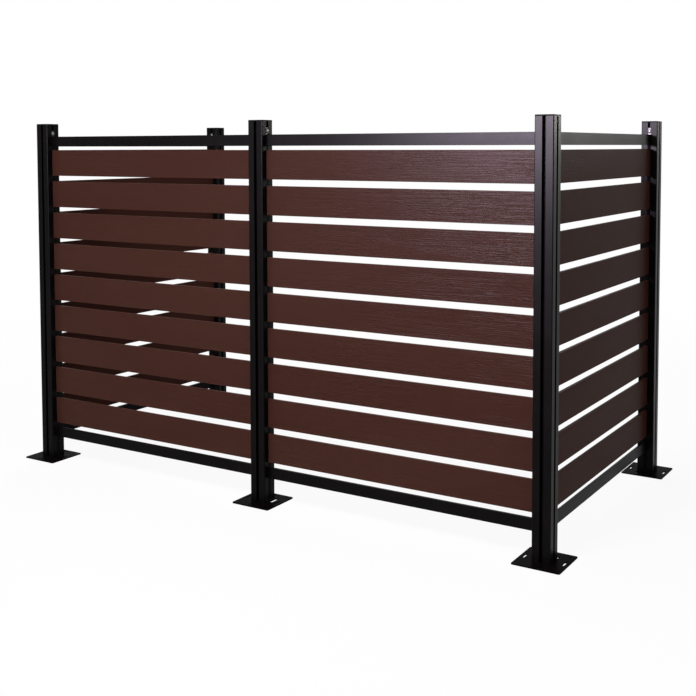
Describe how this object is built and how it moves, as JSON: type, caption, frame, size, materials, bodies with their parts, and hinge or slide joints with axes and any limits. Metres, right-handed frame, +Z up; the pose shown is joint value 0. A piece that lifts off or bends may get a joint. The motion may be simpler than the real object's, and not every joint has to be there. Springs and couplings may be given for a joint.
{
  "type": "garden privacy screen",
  "caption": "U-shaped slatted garden privacy screen: horizontal boards held in the slots of square posts that stand on base plates, open at the back.",
  "frame": {"origin": "on the ground, at the centre of the footprint of the base plates", "axes": "+Z up; +X along the long front, to the right for someone who faces it from outside; +Y from the front towards the open back"},
  "size_m": [2.022, 1.08, 1.2],
  "materials": {
    "black_coat": "satin black powder coat",
    "brown_board": "brown composite board with embossed grain",
    "black_plastic": "matt black plastic",
    "zinc_steel": "bright zinc plated"
  },
  "bodies": {
    "root": {"base_plate_left_front": "black_coat", "base_plate_middle_front": "black_coat", "base_plate_right_front": "black_coat", "base_plate_right_back": "black_coat", "base_plate_left_back": "black_coat", "post_left_front": "black_coat", "post_middle_front": "black_coat", "post_right_front": "black_coat", "post_right_back": "black_coat", "post_left_back": "black_coat", "front_left_bay_bottom_rail": "black_coat", "front_left_bay_board_1": "brown_board", "front_left_bay_board_2": "brown_board", "front_left_bay_board_3": "brown_board", "front_left_bay_board_4": "brown_board", "front_left_bay_board_5": "brown_board", "front_left_bay_board_6": "brown_board", "front_left_bay_board_7": "brown_board", "front_left_bay_board_8": "brown_board", "front_left_bay_board_9": "brown_board", "front_left_bay_top_rail": "black_coat", "front_right_bay_bottom_rail": "black_coat", "front_right_bay_board_1": "brown_board", "front_right_bay_board_2": "brown_board", "front_right_bay_board_3": "brown_board", "front_right_bay_board_4": "brown_board", "front_right_bay_board_5": "brown_board", "front_right_bay_board_6": "brown_board", "front_right_bay_board_7": "brown_board", "front_right_bay_board_8": "brown_board", "front_right_bay_board_9": "brown_board", "front_right_bay_top_rail": "black_coat", "right_side_bay_bottom_rail": "black_coat", "right_side_bay_board_1": "brown_board", "right_side_bay_board_2": "brown_board", "right_side_bay_board_3": "brown_board", "right_side_bay_board_4": "brown_board", "right_side_bay_board_5": "brown_board", "right_side_bay_board_6": "brown_board", "right_side_bay_board_7": "brown_board", "right_side_bay_board_8": "brown_board", "right_side_bay_board_9": "brown_board", "right_side_bay_top_rail": "black_coat", "left_side_bay_bottom_rail": "black_coat", "left_side_bay_board_1": "brown_board", "left_side_bay_board_2": "brown_board", "left_side_bay_board_3": "brown_board", "left_side_bay_board_4": "brown_board", "left_side_bay_board_5": "brown_board", "left_side_bay_board_6": "brown_board", "left_side_bay_board_7": "brown_board", "left_side_bay_board_8": "brown_board", "left_side_bay_board_9": "brown_board", "left_side_bay_top_rail": "black_coat", "post_caps": "black_plastic", "slot_spacers": "black_plastic", "support_spacers": "black_plastic", "stop_nuts": "zinc_steel", "stop_screws": "zinc_steel", "base_screws": "zinc_steel"}
  },
  "joints": []
}
